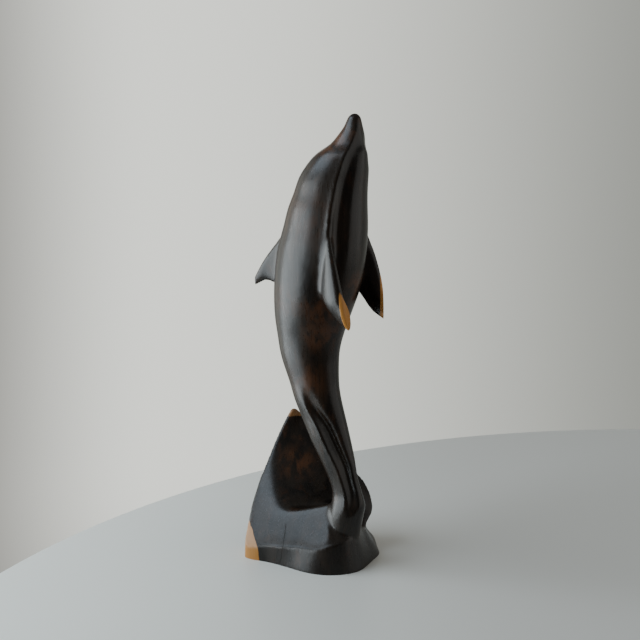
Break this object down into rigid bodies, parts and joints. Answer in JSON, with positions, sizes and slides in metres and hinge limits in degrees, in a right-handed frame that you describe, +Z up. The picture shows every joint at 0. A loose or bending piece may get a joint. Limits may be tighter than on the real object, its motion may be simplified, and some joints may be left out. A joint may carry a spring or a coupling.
{
  "type": "wooden dolphin sculpture",
  "caption": "Leaping dolphin rising nose up from a curling wave, carved in one piece from a round log of dark, polished hardwood with pale sapwood left at its edges.",
  "frame": {"origin": "on the table, on the axis of the log that the sculpture is carved from, at the middle of the foot", "axes": "+Z up along the log to the tip of the beak; +X the way the dolphin's belly faces; +Y towards the dolphin's left flank"},
  "size_m": [0.0871, 0.0781, 0.2997],
  "materials": {
    "dark_wood": "near-black brown heartwood, sanded smooth and polished to a soft gloss, with reddish-brown mottling and small areas of pale tan sapwood"
  },
  "bodies": {
    "root": {"carved_dolphin": "dark_wood"}
  },
  "joints": []
}
